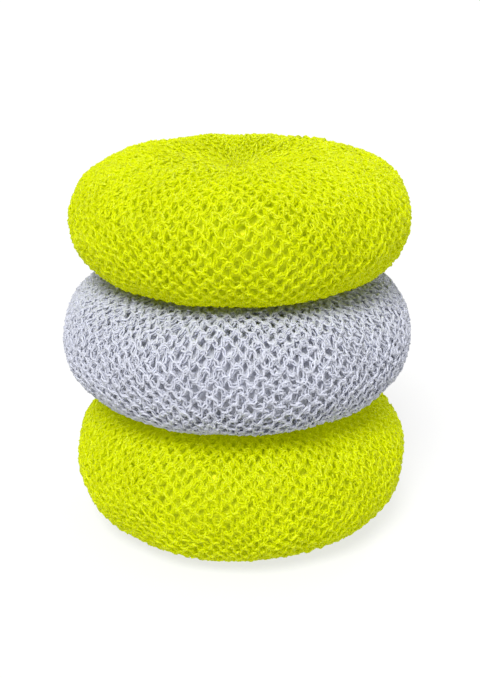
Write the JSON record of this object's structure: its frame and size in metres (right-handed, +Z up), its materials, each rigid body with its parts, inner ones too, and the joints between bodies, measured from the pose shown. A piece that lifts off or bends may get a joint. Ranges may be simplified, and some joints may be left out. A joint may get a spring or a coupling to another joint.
{
  "type": "nylon scrubber set",
  "caption": "Stack of round puffy scouring pads knitted from springy nylon filament, each gathered to a dimple at its poles, for washing pots and dishes.",
  "frame": {"origin": "centre of the set's bounding box in X and Y, at the face that it stands on", "axes": "+Z up through the stack, +X to the right and +Y to the back as the picture sees it"},
  "size_m": [0.1052, 0.1052, 0.1153],
  "materials": {
    "lime_knit": "glossy knitted monofilament",
    "lime_lining": "glossy knitted monofilament",
    "lime_roll": "knitted monofilament, rolled",
    "lime_thread": "satin twisted thread",
    "grey_knit": "glossy knitted monofilament",
    "grey_lining": "glossy knitted monofilament",
    "grey_roll": "knitted monofilament, rolled",
    "grey_thread": "satin twisted thread"
  },
  "bodies": {
    "bottom_scrubber": {"bottom_outer_turn": "lime_knit", "bottom_inner_turn": "lime_lining", "bottom_core_roll": "lime_roll", "bottom_upper_tie": "lime_thread", "bottom_lower_tie": "lime_thread", "bottom_centre_thread": "lime_thread"},
    "middle_scrubber": {"middle_outer_turn": "grey_knit", "middle_inner_turn": "grey_lining", "middle_core_roll": "grey_roll", "middle_upper_tie": "grey_thread", "middle_lower_tie": "grey_thread", "middle_centre_thread": "grey_thread"},
    "top_scrubber": {"top_outer_turn": "lime_knit", "top_inner_turn": "lime_lining", "top_core_roll": "lime_roll", "top_upper_tie": "lime_thread", "top_lower_tie": "lime_thread", "top_centre_thread": "lime_thread"}
  },
  "joints": [
    {"name": "middle_lift", "type": "slide", "parent": "bottom_scrubber", "child": "middle_scrubber", "axis": [0, 0, 1], "range_m": [0, 0.05]},
    {"name": "top_lift", "type": "slide", "parent": "middle_scrubber", "child": "top_scrubber", "axis": [0, 0, 1], "range_m": [0, 0.05]}
  ]
}
